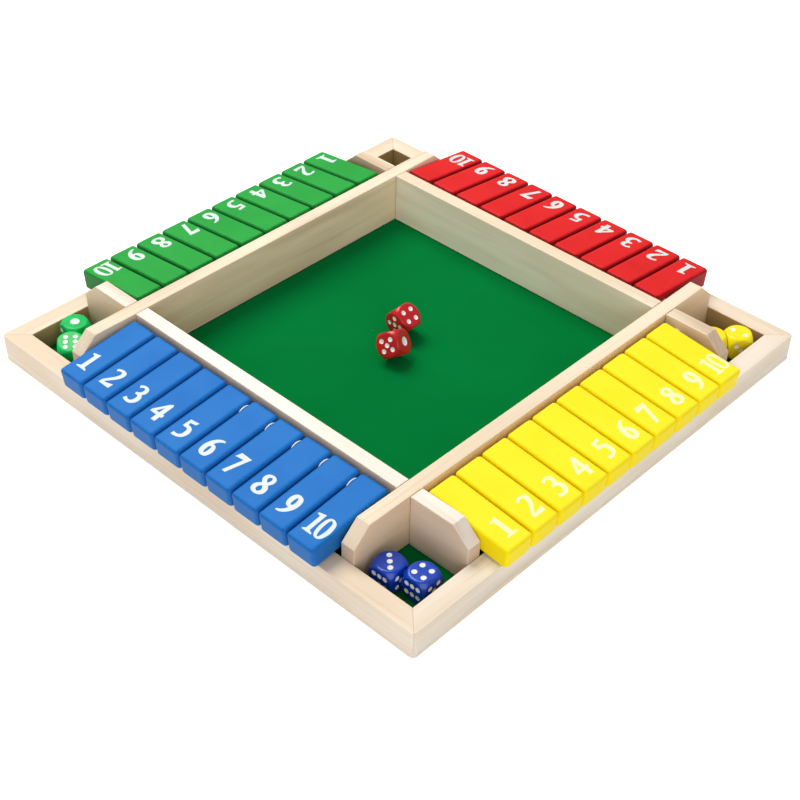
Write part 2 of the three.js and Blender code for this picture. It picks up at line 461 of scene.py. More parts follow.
class Effect(Nodes):
    """A new shader node group that gives values, and the writer of its tree."""

    def __init__(self, name: str, gives: tuple, **takes: float | None) -> None:
        """Makes the group and its sockets.

        Args:
            name: of the group.
            gives: the names of its results.
            takes: its inputs, each with its default, or with None for a vector.
        """
        super().__init__(bpy.data.node_groups.new(name, "ShaderNodeTree"))
        sockets = self.tree.interface
        for label, default in takes.items():
            kind = "NodeSocketVector" if default is None else "NodeSocketFloat"
            socket = sockets.new_socket(name=label, in_out="INPUT", socket_type=kind)
            if default is not None:
                socket.default_value = default
        for label in gives:
            sockets.new_socket(name=label, in_out="OUTPUT", socket_type="NodeSocketFloat")
        self.given = self.add("NodeGroupInput").outputs

    def close(self, *results: bpy.types.NodeSocket) -> bpy.types.NodeTree:
        """Hands out the results, in the order of their names."""
        self.add("NodeGroupOutput", dict(enumerate(results)))
        return self.tree


class Surface(Nodes):
    """A new material, and the writer of its tree."""

    def __init__(self, name: str) -> None:
        """Makes the material, still without a shader.

        Args:
            name: of the material.
        """
        self.material = bpy.data.materials.new(name)
        self.material.use_nodes = True
        super().__init__(self.material.node_tree)

    def close(self, colour: object, rough: object, mirror: float, height: object, tooth: float,
              depth: float) -> bpy.types.Material:
        """Adds the Principled shader and the bump.

        Args:
            colour: of the surface.
            rough: its roughness.
            mirror: its specular level.
            height: of the bump.
            tooth: strength of the bump.
            depth: of the bump, in metres.

        Returns:
            The material.
        """
        bump = self.add("ShaderNodeBump", {"Height": height, "Strength": tooth, "Distance": depth})
        look = {"Base Color": colour, "Roughness": rough, "Specular IOR Level": mirror}
        shader = self.add("ShaderNodeBsdfPrincipled", look | {"Normal": bump.outputs[0]})
        self.add("ShaderNodeOutputMaterial", {"Surface": shader.outputs[0]})
        return self.material


def wood_figure() -> bpy.types.NodeTree:
    """Growth rings and fibres of a board, from its grain place in millimetres.

    The rings are the saw-tooth of the bent distance from the pith over the ring spacing, raised to
    a power, so that each ring darkens towards its late wood. A slow noise lets them come and go.

    Returns:
        The group.
    """
    nodes = Effect("wood_figure", ("Rings", "Fibre", "Tone"), Place=None, Spacing=3.0, Bend=2.0)
    place = nodes.given["Place"]
    bend = nodes.noise(nodes.stretched(place, along=0.008, across=0.045), 1.0, detail=2.0)
    pith = nodes.stretched(place, along=0.0, across=1.0)
    radius = nodes.add("ShaderNodeVectorMath", {0: pith}, operation="LENGTH").outputs["Value"]
    shift = nodes.product(nodes.math("SUBTRACT", bend, 0.5), nodes.given["Bend"])
    saw = nodes.math("FRACT", nodes.math("ADD", nodes.math("DIVIDE", radius, nodes.given["Spacing"]), shift))
    drop = nodes.ramp(nodes.math("SUBTRACT", 1.0, saw), 0.0, 0.25)
    late = nodes.product(nodes.math("POWER", saw, 3.0), drop)
    patch = nodes.noise(nodes.stretched(place, along=0.011, across=0.21), 1.0, detail=2.0)
    rings = nodes.product(late, nodes.ramp(patch, 0.36, 0.68))
    fibre = nodes.noise(nodes.stretched(place, along=0.03, across=1.6), 1.0, detail=3.0, rough=0.6)
    tone = nodes.noise(nodes.stretched(place, along=0.012, across=0.08), 1.0, detail=1.0)
    return nodes.close(rings, fibre, tone)


def painted_edge_shading() -> bpy.types.NodeTree:
    """Painted light and shade in broken patches along a rounded edge: the edge mark and a fine noise, over a
    threshold.

    Returns:
        The group.
    """
    nodes = Effect("painted_edge_shading", ("Worn",), Edge=0.0, Place=None, Amount=0.3)
    noise = nodes.noise(nodes.given["Place"], scale=700.0, detail=4.0)
    raised = nodes.line(nodes.given["Edge"], 0.5, nodes.product(noise, 0.6))
    return nodes.close(nodes.product(nodes.ramp(raised, 0.62, 0.85), nodes.given["Amount"]))


def surface_mottle() -> bpy.types.NodeTree:
    """Broad and fine unevenness of a painted, moulded or lined surface, from two noises.

    Returns:
        The group.
    """
    nodes = Effect("surface_mottle", ("Cloud", "Speck"), Place=None, Broad=40.0, Fine=900.0)
    cloud = nodes.noise(nodes.given["Place"], nodes.given["Broad"], detail=2.0)
    speck = nodes.noise(nodes.given["Place"], nodes.given["Fine"], detail=3.0)
    return nodes.close(cloud, speck)


@dataclass(frozen=True)
class SharedEffects:
    """The node groups that several finishes use."""

    figure: bpy.types.NodeTree = field(default_factory=wood_figure)
    # Painted light and shade in patches along the tiles' rounded edges.
    wear: bpy.types.NodeTree = field(default_factory=painted_edge_shading)
    mottle: bpy.types.NodeTree = field(default_factory=surface_mottle)


def screen(red: int, green: int, blue: int) -> tuple:
    """A linear colour with alpha, from the three levels that a screen shows, by the sRGB curve.

    Args:
        red: level from 0 to 255.
        green: the same.
        blue: the same.

    Returns:
        The four numbers of the colour.
    """
    levels = np.array([red, green, blue]) / 255
    linear = np.where(levels <= 0.04045, levels / 12.92, ((levels + 0.055) / 1.055) ** 2.4)
    return (*linear.tolist(), 1.0)


@dataclass(frozen=True)
class WoodFinish:
    """Pale wood under a clear satin lacquer, with how much of its figure shows, and a side tone that is
    painted light and shade.

    The tone, the fibre and the cut ends are given as ramps: where each starts, where it ends, and how
    much of its colour shows there, which for the tone is a share of the figure. The relief is how much
    of the fibres and of the rings goes into the height.
    """

    name: str
    pale: tuple
    # The side tone, on broad sides and on the rails' inner faces, is painted light and shade.
    side: tuple
    line: tuple
    end: tuple | None
    spacing: float
    figure: float
    tone: tuple = (0.3, 0.7, 0.6)
    fibre: tuple = (0.52, 0.72, 0.14)
    cut: tuple = (0.45, 1.0, 0.75)
    relief: tuple = (0.6, -0.4)
    rough: float = 0.41
    rough_spread: float = 0.18
    mirror: float = 0.2
    tooth: float = 0.12
    depth: float = 0.0002

    def material(self, effects: SharedEffects) -> bpy.types.Material:
        """Makes the material, whose figure follows each board's own grain mark.

        Args:
            effects: the shared node groups.

        Returns:
            The material.
        """
        nodes = Surface(self.name)
        figure = nodes.effect(effects.figure, Place=nodes.mark("grain", "Vector"), Spacing=self.spacing)
        rings = nodes.product(figure["Rings"], self.figure)
        low, high, share = self.tone
        tone = nodes.ramp(figure["Tone"], low, high, self.figure * share)
        fibre = nodes.ramp(figure["Fibre"], *self.fibre)
        # The side mark lays the side tone, painted light and shade, over the face.
        colour = nodes.layers(self.pale, (nodes.mark("side"), self.side), (rings, self.line),
                              (tone, self.line), (fibre, self.line))
        if self.end:
            cut = nodes.ramp(nodes.mark("end_grain"), *self.cut)
            colour = nodes.layers(colour, (cut, self.end))
        rough = nodes.line(figure["Fibre"], self.rough_spread, self.rough)
        height = nodes.line(figure["Fibre"], self.relief[0], nodes.product(rings, self.relief[1]))
        return nodes.close(colour, rough, self.mirror, height, self.tooth, self.depth)


@dataclass(frozen=True)
class PaintFinish:
    """Satin paint on a wooden tile, with painted shade on its sides and ends, and painted edge shading along
    its rounded edges.

    The turn towards a side face and the cloud are given as ramps: where each starts, where it ends, and
    how much of its colour shows there, which is all of it if that isn't given. The relief is how much of
    the fibres and of the specks goes into the height.
    """

    name: str
    colour: tuple
    deep: tuple
    # The edge shading colour is painted shade on the rounded edges (on yellow a paler painted highlight), the
    # side colour is painted shade on the sides and ends, and the amount is how much edge shading shows.
    rubbed: tuple
    side: tuple
    worn: float
    turn: tuple = (0.03, 0.5)
    cloud: tuple = (0.35, 0.75, 0.3)
    rings: float = 0.12
    relief: tuple = (0.7, 0.3)
    rough: float = 0.4
    rough_spread: float = 0.12
    mirror: float = 0.1
    tooth: float = 0.1
    depth: float = 0.0002

    def material(self, effects: SharedEffects) -> bpy.types.Material:
        """Makes the paint: a soft cloud of a deeper tone, the wood's fibres faintly through it, painted shade
        on its sides and ends, and painted edge shading.

        Args:
            effects: the shared node groups.

        Returns:
            The material.
        """
        nodes = Surface(self.name)
        here = nodes.here()
        mottle = nodes.effect(effects.mottle, Place=here)
        figure = nodes.effect(effects.figure, Place=nodes.mark("grain", "Vector"))
        wear = nodes.effect(effects.wear, Edge=nodes.mark("edge"), Place=here, Amount=self.worn)
        # The side colour paints shade on the sides and ends, and the edge shading paints light and shade
        # along the rounded edges.
        colour = nodes.layers(self.colour, (nodes.ramp(nodes.mark("side"), *self.turn), self.side),
                              (nodes.ramp(mottle["Cloud"], *self.cloud), self.deep),
                              (nodes.product(figure["Rings"], self.rings), self.deep),
                              (wear["Worn"], self.rubbed))
        rough = nodes.line(mottle["Cloud"], self.rough_spread, self.rough)
        specks = nodes.product(mottle["Speck"], self.relief[1])
        height = nodes.line(figure["Fibre"], self.relief[0], specks)
        return nodes.close(colour, rough, self.mirror, height, self.tooth, self.depth)


@dataclass(frozen=True)
class MottledFinish:
    """A plain surface with a cloud and specks of a deeper colour, and paint in its pips, if it has any.

    The scales are waves in a metre, of the cloud and the specks. Both are given as a ramp of their
    noise: where it starts, where it ends, and how much of the deeper colour shows there. The paint's
    rim is a ramp too, of the pip mark, which is millimetres inside a pip's rim.
    """

    name: str
    colour: tuple
    deep: tuple
    mirror: float
    scales: tuple
    cloud: tuple
    rough: float
    rough_spread: float
    tooth: float
    speck: tuple | None = None
    pip: tuple | None = None
    pip_rim: tuple = (-0.04, 0.1)
    pip_rough: float = 0.25
    depth: float = 0.0001

    def material(self, effects: SharedEffects) -> bpy.types.Material:
        """Makes the material.

        Args:
            effects: the shared node groups.

        Returns:
            The material.
        """
        nodes = Surface(self.name)
        broad, fine = self.scales
        mottle = nodes.effect(effects.mottle, Place=nodes.here(), Broad=broad, Fine=fine)
        colour = nodes.layers(self.colour, (nodes.ramp(mottle["Cloud"], *self.cloud), self.deep))
        rough = nodes.line(mottle["Speck"], self.rough_spread, self.rough)
        if self.speck:
            colour = nodes.layers(colour, (nodes.ramp(mottle["Speck"], *self.speck), self.deep))
        if self.pip:
            inside = nodes.ramp(nodes.mark("pip"), *self.pip_rim)
            colour = nodes.layers(colour, (inside, self.pip))
            rough = nodes.line(inside, self.pip_rough, rough)
        return nodes.close(colour, rough, self.mirror, mottle["Speck"], self.tooth, self.depth)


@dataclass(frozen=True)
class WhiteFinish(MottledFinish):
    """The white of the numerals' print or of the washers, a little uneven."""

    mirror: float = 0.25
    scales: tuple = (300.0, 2400.0)
    cloud: tuple = (0.5, 0.8, 0.25)
    rough: float = 0.4
    rough_spread: float = 0.1
    tooth: float = 0.08


@dataclass(frozen=True)
class ResinFinish(MottledFinish):
    """Glossy moulded resin of a die, with white paint in its pips."""

    scales: tuple = (160.0, 900.0)
    cloud: tuple = (0.3, 0.7, 0.35)
    rough: float = 0.2
    rough_spread: float = 0.05
    tooth: float = 0.04
    pip: tuple = (0.97, 0.97, 0.97, 1.0)


@dataclass(frozen=True)
class LiningFinish(MottledFinish):
    """The smooth matt green lining of the floor."""

    mirror: float = 0.03
    scales: tuple = (14.0, 2600.0)
    cloud: tuple = (0.3, 0.7, 0.35)
    rough: float = 0.85
    rough_spread: float = 0.1
    tooth: float = 0.25
    speck: tuple = (0.45, 0.7, 0.16)


# The wood's tones as a screen shows them; the side tones and the tray shade are painted light and shade,
# and the bright face is painted light
TONES = {
    "rail": screen(242, 228, 208), "pale": screen(244, 234, 219), "wall": screen(245, 232, 208),
    "bright_lit_face": screen(252, 247, 238), "tray_shade": screen(176, 142, 98), "warm_side_shade": screen(238, 210, 178),
    "blush_side_light": screen(255, 229, 194), "cool_side_light": screen(255, 243, 220), "rosy_side_shade": screen(240, 216, 192),
    "line": screen(208, 170, 128), "streak": screen(188, 146, 112), "end": screen(196, 164, 144),
}

# Each wood's tones of face, broad side, lines and end grain, if it shows, then its rings' spacing and
# how much of its figure shows. The broad side tones of the walls and plates are painted light and shade,
# lighter or darker than the tops by how light falls on each board; on the rails the side tone is painted
# shade on their inner faces in the trays. The bright face of the front wall and two plates is painted light.
WOODS = {
    "rail": ("rail", "tray_shade", "line", "end", 3.4, 0.5),
    "pale_rail": ("pale", "tray_shade", "line", "end", 3.4, 0.5),
    "right_wall": ("wall", "warm_side_shade", "line", "end", 2.8, 0.4),
    "left_wall": ("wall", "blush_side_light", "streak", "end", 2.8, 0.5),
    "rear_wall": ("wall", "cool_side_light", "line", "end", 2.8, 0.4),
    "front_wall": ("bright_lit_face", "rosy_side_shade", "line", "end", 3.1, 0.22),
    "plate": ("wall", "rosy_side_shade", "streak", "end", 3.0, 0.85),
    "pale_plate": ("bright_lit_face", "rosy_side_shade", "line", "end", 3.0, 0.6),
    "rod": ("wall", "wall", "line", "end", 1.4, 0.25),
    "board": ("rail", "rail", "line", None, 5.0, 0.3),
}

# Each bank's paint: its face, depth, edge shading and side as a screen shows them, and how much edge
# shading shows. The side colour is painted shade on the sides and ends; the edge shading is painted shade
# on the rounded edges, and on yellow a paler painted highlight
PAINTS = {
    Bank.blue: ((27, 118, 203), (20, 102, 190), (18, 86, 168), (34, 109, 182), 0.7),
    Bank.yellow: ((255, 242, 46), (254, 228, 14), (255, 238, 70), (255, 230, 4), 0.35),
    Bank.red: ((226, 34, 36), (196, 20, 28), (120, 6, 14), (160, 14, 22), 0.85),
    Bank.green: ((42, 167, 68), (28, 140, 52), (6, 106, 34), (30, 128, 52), 0.8),
}

# Each colour's dice: the resin, its depth, and how much it mirrors
RESINS = {
    Bank.blue: ((0, 66, 190), (0, 32, 140), 0.5),
    Bank.yellow: ((255, 244, 30), (255, 216, 6), 0.35),
    Bank.red: ((206, 16, 28), (160, 6, 18), 0.5),
    Bank.green: ((0, 200, 100), (0, 150, 66), 0.2),
}

# The plain surfaces, each with its colour and the deeper one of its cloud
PLAINS = (
    (LiningFinish, "green_lining", (0, 122, 57), (0, 104, 44)),
    (WhiteFinish, "washer_white", (248, 247, 242), (232, 230, 222)),
    (WhiteFinish, "numeral_white", (220, 232, 234), (206, 220, 226)),
    (WhiteFinish, "numeral_cream", (255, 251, 198), (255, 248, 172)),
)


@dataclass
class Finishes:
    """Every material of the board."""

    effects: SharedEffects = field(default_factory=SharedEffects)

    def __post_init__(self) -> None:
        """Makes each material once."""
        effects = self.effects
        self.wood, self.paint, self.resin = {}, {}, {}
        for name, (*tones, spacing, figure) in WOODS.items():
            finish = WoodFinish(f"{name}_wood", *map(TONES.get, tones), spacing, figure)
            self.wood[name] = finish.material(effects)
        # Each paint's side and edge colours are painted shade, and yellow's edge colour is a painted
        # highlight.
        for bank, (*tones, worn) in PAINTS.items():
            finish = PaintFinish(f"{bank.name}_paint", *(screen(*tone) for tone in tones), worn)
            self.paint[bank] = finish.material(effects)
        for bank, (colour, deep, gloss) in RESINS.items():
            finish = ResinFinish(f"{bank.name}_resin", screen(*colour), screen(*deep), gloss)
            self.resin[bank] = finish.material(effects)
        plain = {name: kind(name, screen(*colour), screen(*deep)).material(effects)
                 for kind, name, colour, deep in PLAINS}
        self.lining, self.washer = plain["green_lining"], plain["washer_white"]
        self.numeral = {bank: plain["numeral_white"] for bank in Bank}
        self.numeral[Bank.yellow] = plain["numeral_cream"]


# Woodwork


@dataclass(frozen=True)
class StandingBoard:
    """A wall or plate on edge: it lies along X, off the middle to one side, then turns by quarters."""

    name: str
    node: str
    slot: str
    wood: str
    span: Span
    turns: int
    side: int
    pith: tuple


STANDING = (
    StandingBoard("long_wall_left", "pit_frame", "pale_wood", "left_wall",
                  Span.RAIL_TO_RAIL, 1, 1, (40, -22, 34)),
    StandingBoard("long_wall_right", "pit_frame", "pale_wood", "right_wall",
                  Span.RAIL_TO_RAIL, 1, -1, (333, -30, -27)),
    StandingBoard("short_wall_front", "pit_frame", "pale_wood", "front_wall",
                  Span.WALL_TO_WALL, 0, -1, (612, -41, 22)),
    StandingBoard("short_wall_rear", "pit_frame", "pale_wood", "rear_wall",
                  Span.WALL_TO_WALL, 0, 1, (871, -25, -31)),
    StandingBoard("yellow_plate_by_1", "yellow_end_plate_by_1", "wood", "pale_plate",
                  Span.WALL_TO_RAIL, 0, -1, (17, -22, 20)),
    StandingBoard("yellow_plate_by_10", "yellow_end_plate_by_10", "wood", "plate",
                  Span.WALL_TO_RAIL, 0, 1, (156, -21, 16)),
    StandingBoard("green_plate_by_1", "green_end_plate_by_1", "wood", "plate",
                  Span.WALL_TO_RAIL, 2, -1, (295, -20, 23)),
    StandingBoard("green_plate_by_10", "green_end_plate_by_10", "wood", "pale_plate",
                  Span.WALL_TO_RAIL, 2, 1, (434, -19, 19)),
)


@dataclass
class Woodwork:
    """The base, rails, walls, end plates, rods and washers, and the finish of the kept lining."""

    finishes: Finishes
    plan: BoardPlan = PLAN
    rail_edge: float = 0.5
    wall_edge: float = 0.45
    foot_edge: float = 0.12
    wall_corner: float = 0.6
    wall_foot: float = 0.15
    mitre_relief: float = 0.3
    butt_relief: float = 0.2
    corner_radius: float = 2.6
    base_pith: tuple = (0.0, 41.0, 64.25)
    rail_piths: tuple = ((0, 31, -48), (211, 44, -37), (437, 26, -55), (659, 39, -44))
    rod_edge: float = 0.4
    rod_sides: int = 40
    rod_pith: tuple = (260.0, 9.0, -7.0)
    washer_radius: float = 5.15
    washer_thickness: float = 0.6
    washer_edge: float = 0.12
    washer_play: float = 0.15
    washer_sides: int = 48
    washers_after: tuple = (5, 6, 7, 8, 9)

    def build(self) -> list:
        """Makes every piece of woodwork.

        Returns:
            The pieces.
        """
        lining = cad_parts["green_floor_sheet"].data.materials
        lining.clear()
        lining.append(self.finishes.lining)
        return [self.base()] + self.rails() + self.standing() + self.rods() + self.washers()

    def base(self) -> bpy.types.Object:
        """The base board, with the rails' rounded corners.

        Returns:
            The piece.
        """
        reach, half = self.plan.board_half, self.plan.rail_foot / 2
        corners = rectangle(-reach, reach, -reach, reach)
        shell = plank(corners, np.full(4, self.corner_radius), half, self.foot_edge, self.base_pith)
        shell = shell.moved(np.eye(3), (0, 0, half))
        return shell.to_piece("base_panel", self.finishes.wood["board"], "board", "base_board", "wood")

    def rails(self) -> list:
        """The four mitred rails, which together stand for the frame.

        The rounded section is carried along the rail, and each of its points runs as far as the mitre
        line lets it: its distance from the middle of the board, times the station from -1 to 1. Points
        nearer the outer corner than its radius go round it instead, by an eighth of a turn. The last
        ring of each end is drawn in a little, so that the mitre shows as a fine line.

        Returns:
            The rails.
        """
        plan, pieces = self.plan, []
        high = plan.board_half
        corners = rectangle(plan.rail_inner, high, plan.rail_foot, plan.rail_top)
        radii = np.array([self.foot_edge, self.foot_edge, self.rail_edge, self.rail_edge])
        section, normals = rounded_outline(corners, radii, steps=5)
        bend = np.array([0, 0.2, 0.4, 0.6, 0.8, 0.94, 1.0])
        near = 1 - (1 - bend) * self.corner_radius / high
        between = np.array([-0.6, -0.2, 0.2, 0.6])
        share = np.concatenate([-near[::-1], between, near])[:, None]
        turn = np.concatenate([bend[::-1], 0 * between, bend])[:, None] * math.pi / 4
        relief = np.where(np.abs(share) == 1, self.mitre_relief, 0.0)
        ring = section[None] - normals[None] * relief[..., None]
        out = ring[..., 0]
        start = high - self.corner_radius
        beyond = np.maximum(out - start, 0)
        rounding = (beyond > 0) & (np.abs(share) > 0.9)
        along = np.where(rounding, np.sign(share) * (start + beyond * np.sin(turn)), out * share)
        rings = np.stack([along, -np.where(rounding, start + beyond * np.cos(turn), out), ring[..., 1]], -1)
        points = rings.reshape(-1, 3)
        # The rails' inner faces, in the trays, take the side tone: painted shade.
        inward = np.broadcast_to(np.clip(-normals[:, 0], 0, 1), out.shape)
        for bank, pith in zip(Bank, self.rail_piths):
            marks = {"grain": points + (0, plan.rail_inner, 0) + pith, "side": inward.ravel()}
            rail = Shell(points, capped(rings), marks).moved(quarter_turns(bank.value), np.zeros(3))
            finish = self.finishes.wood["pale_rail" if bank is Bank.yellow else "rail"]
            pieces.append(rail.to_piece(f"{bank.name}_side_rail", finish, "board", "outer_frame", "wood"))
        return pieces

    def end_corners(self, place: float, cut: bool) -> np.ndarray:
        """One end of a standing board, from its foot up.

        Args:
            place: where the end is, along the grain.
            cut: whether its top corner is cut off.

        Returns:
            The end's corners.
        """
        plan = self.plan
        foot, top = plan.floor_top, plan.wall_top
        if cut:
            return np.array([[place, foot], [place, top - plan.corner_drop], [place - plan.corner_run, top]])
        return np.array([[place, foot], [place, top]])

    def standing(self) -> list:
        """The long walls from rail to rail, the short ones between them, and the four end plates.

        Each is a plank on edge. Its left end is made as a right end and mirrored.

        Returns:
            The pieces.
        """
        plan, pieces = self.plan, []
        middle = plan.pit_half + plan.wall / 2
        starts = {Span.RAIL_TO_RAIL: -plan.rail_inner, Span.WALL_TO_WALL: self.butt_relief - plan.pit_half,
                  Span.WALL_TO_RAIL: plan.wall_outer + self.butt_relief}
        for board in STANDING:
            start = starts[board.span]
            stop = -start if board.span is Span.WALL_TO_WALL else plan.rail_inner
            right = self.end_corners(stop, board.span is not Span.WALL_TO_WALL)
            left = self.end_corners(-start, board.span is Span.RAIL_TO_RAIL) * (-1, 1)
            corners = np.concatenate([right, left[::-1]])
            radii = np.where(corners[:, 1] > plan.floor_top, self.wall_corner, self.wall_foot)
            shell = plank(corners, radii, plan.wall / 2, self.wall_edge, board.pith)
            shell = shell.moved(basis((1, 0, 0), (0, 0, 1), (0, -1, 0)), (0, board.side * middle, 0))
            shell = shell.moved(quarter_turns(board.turns), np.zeros(3))
            finish = self.finishes.wood[board.wood]
            pieces.append(shell.to_piece(board.name, finish, "board", board.node, board.slot))
        return pieces

    def rods(self) -> list:
        """The four round hinge rods, with their rims rounded, each further along the tree than the last.

        Returns:
            The rods.
        """
        plan, pieces = self.plan, []
        across, inset, lean = edge_rows(plan.pit_half + plan.rod_seat, self.rod_edge, steps=4)
        rings = lathe(across, plan.rod_radius - inset, self.rod_sides)
        points = rings.reshape(-1, 3)
        cut = np.repeat(np.abs(np.sin(lean)), self.rod_sides)
        for bank in Bank:
            pith = np.array(self.rod_pith) * (bank.value, 1, 1)
            marks = {"grain": points + pith, "end_grain": cut}
            rod = Shell(points, capped(rings), marks).moved(*plan.on_rod(bank, 0.0, np.eye(3)))
            finish, node = self.finishes.wood["rod"], f"{bank.name}_hinge_rod"
            pieces.append(rod.to_piece(f"{bank.name}_rod", finish, "board", node, "pale_wood"))
        return pieces

    def washers(self) -> list:
        """The thin washers that show between some blue tiles: a rounded section turned about the rod.

        Returns:
            The washers.
        """
        plan, pieces = self.plan, []
        half, bore = self.washer_thickness / 2, plan.rod_radius + self.washer_play
        corners = rectangle(-half, half, bore, self.washer_radius)
        section, _ = rounded_outline(corners, np.full(4, self.washer_edge), steps=2)
        rings = lathe(section[:, 0], section[:, 1], self.washer_sides)
        shape = Shell(rings.reshape(-1, 3), [grid_faces(*rings.shape[:2], closed_rows=True)])
        for after in self.washers_after:
            along = plan.along(Bank.blue, after + 0.5)
            washer = shape.moved(*plan.on_rod(Bank.blue, along, np.eye(3)))
            pieces.append(washer.to_piece(f"blue_washer_after_{after}", self.finishes.washer, "board"))
        return pieces


# Tiles


# Each numeral is a set of shapes in millimetres from the middle of its foot. A point with three numbers
# is (across, up, width) under a broad pen, whose stroke closes on itself where it ends at its first
# point. Points with two numbers are the corners of a flat shape, anticlockwise.
SHAPES = {
    "1": [[(-1.9, 0.3), (0.8, 0.3), (0.7, 12.8), (-1.9, 12.1)],
          [(-3.75, 10.9), (-1.8, 10.4), (-1.8, 12.2), (-3.75, 11.8)],
          [(-4.0, 0.2), (3.1, 0.2), (3.0, 0.9), (0.8, 1.9), (-1.9, 1.9), (-3.9, 1.0)]],
    "2": [[(-3.1, 11.3, 1.6), (-1.9, 12.1, 1.5), (0.1, 12.5, 1.7), (2.0, 11.7, 2.4), (2.2, 9.6, 2.6),
           (1.2, 7.3, 2.3), (-0.6, 5.0, 1.9), (-2.4, 2.8, 1.7), (-3.3, 1.3, 1.6)],
          [(-4.2, 0.1), (3.4, 0.0), (3.7, 3.2), (-0.5, 2.0), (-3.6, 1.6)]],
    "3": [[(-3.2, 11.2, 1.9), (-1.6, 12.3, 1.5), (0.3, 12.4, 1.7), (1.7, 11.2, 2.4), (1.8, 9.3, 2.4),
           (0.5, 7.6, 1.8), (-1.6, 6.9, 1.3)],
          [(-1.4, 7.1, 1.2), (0.9, 7.0, 1.9), (2.4, 5.6, 2.6), (2.5, 3.3, 2.8), (1.1, 1.2, 2.1),
           (-1.3, 0.7, 1.7), (-3.6, 1.6, 2.2)]],
    "4": [[(-4.9, 3.7), (-2.5, 5.5), (-0.4, 9.3), (1.4, 11.6), (1.5, 13.5), (-0.3, 12.2), (-5.0, 5.0)],
          [(-0.35, 0.1), (2.4, 0.2), (2.2, 12.4), (1.45, 13.5), (-0.35, 12.2)],
          [(-4.9, 3.65), (3.5, 3.65), (3.45, 5.6), (-4.9, 5.4)]],
    "5": [[(-3.05, 10.5), (1.75, 11.25), (2.35, 13.15), (-3.0, 12.45)],
          [(-3.35, 7.2), (-0.9, 8.2), (-1.6, 11.0), (-3.0, 12.4)],
          [(-2.6, 7.9, 1.4), (-0.2, 8.2, 1.9), (1.6, 7.1, 2.5), (2.2, 4.9, 2.7), (1.5, 2.4, 2.3),
           (-0.4, 1.1, 1.8), (-2.2, 0.8, 1.8), (-3.6, 1.0, 2.0)]],
    "6": [[(3.0, 12.9, 0.8), (1.0, 12.3, 1.6), (-1.0, 10.6, 2.2), (-2.4, 7.9, 2.7), (-2.9, 4.9, 2.8),
           (-2.3, 2.2, 2.6), (-0.6, 0.95, 1.8), (1.0, 1.7, 2.4), (1.6, 4.1, 2.7), (1.1, 6.6, 2.3),
           (-0.3, 7.7, 1.6), (-1.7, 6.9, 1.3)]],
    "7": [[(-5.5, 10.0), (-4.0, 10.4), (-0.3, 10.7), (1.6, 10.7), (2.6, 13.3), (-4.3, 13.5)],
          [(-3.9, 0.1), (-1.7, -0.1), (2.6, 13.3), (0.0, 12.2), (-0.45, 10.7)]],
    "8": [[(-0.2, 12.5, 1.5), (-2.2, 11.6, 2.1), (-2.7, 9.8, 2.4), (-1.4, 7.9, 2.4), (0.6, 6.4, 2.6),
           (2.1, 4.6, 2.8), (2.1, 2.2, 2.5), (-0.3, 0.8, 1.7), (-2.7, 1.9, 2.4), (-3.1, 3.9, 2.5),
           (-1.7, 5.9, 1.9), (0.6, 7.5, 1.8), (1.8, 9.6, 2.2), (1.5, 11.5, 2.0), (-0.2, 12.5, 1.5)]],
    "10": [[(-3.7, -0.4), (-1.4, -0.4), (-1.6, 12.2), (-3.8, 11.6)],
           [(-5.65, 10.3), (-3.6, 9.9), (-3.6, 11.7), (-5.65, 11.2)],
           [(-5.1, -0.5), (0.75, -0.5), (0.7, 0.2), (-1.4, 1.1), (-3.7, 1.1), (-5.0, 0.3)],
           [(2.6, 11.9, 1.1), (1.1, 10.4, 1.7), (0.9, 6.0, 2.0), (1.9, 1.6, 1.8), (3.7, 0.1, 1.2),
            (5.3, 1.4, 2.0), (5.9, 5.6, 2.4), (5.0, 10.2, 2.0), (2.6, 11.9, 1.1)]],
}


def numeral_shapes(number: int) -> list:
    """The shapes of a number: 9 is 6 turned upside down about the middle of its place.

    Args:
        number: 1 to 10.

    Returns:
        Its pen strokes and flat shapes.
    """
    if number == 9:
        return [[(-0.9 - x, 12.8 - y, w) for x, y, w in stroke] for stroke in SHAPES["6"]]
    return SHAPES[str(number)]


def pen_line(stroke: list, steps: int = 9) -> np.ndarray:
    """A smooth line through a stroke's points, as the Catmull-Rom cubic between each pair.

    Args:
        stroke: points of (across, up, width).
        steps: pieces between two points.

    Returns:
        Samples of the same three numbers.
    """
    knots = np.array(stroke, float)
    if np.allclose(knots[0], knots[-1]):
        padded = np.vstack([knots[-2], knots, knots[1]])
    else:
        padded = np.vstack([2 * knots[0] - knots[1], knots, 2 * knots[-1] - knots[-2]])
    before, start, stop, after = padded[:-3], padded[1:-2], padded[2:-1], padded[3:]
    t = np.linspace(0, 1, steps, endpoint=False)[None, :, None]
    spans = 0.5 * (2 * start[:, None] + (stop - before)[:, None] * t
                   + (2 * before - 5 * start + 4 * stop - after)[:, None] * t ** 2
                   + (3 * start - before - 3 * stop + after)[:, None] * t ** 3)
    return np.vstack([spans.reshape(-1, 3), knots[-1]])


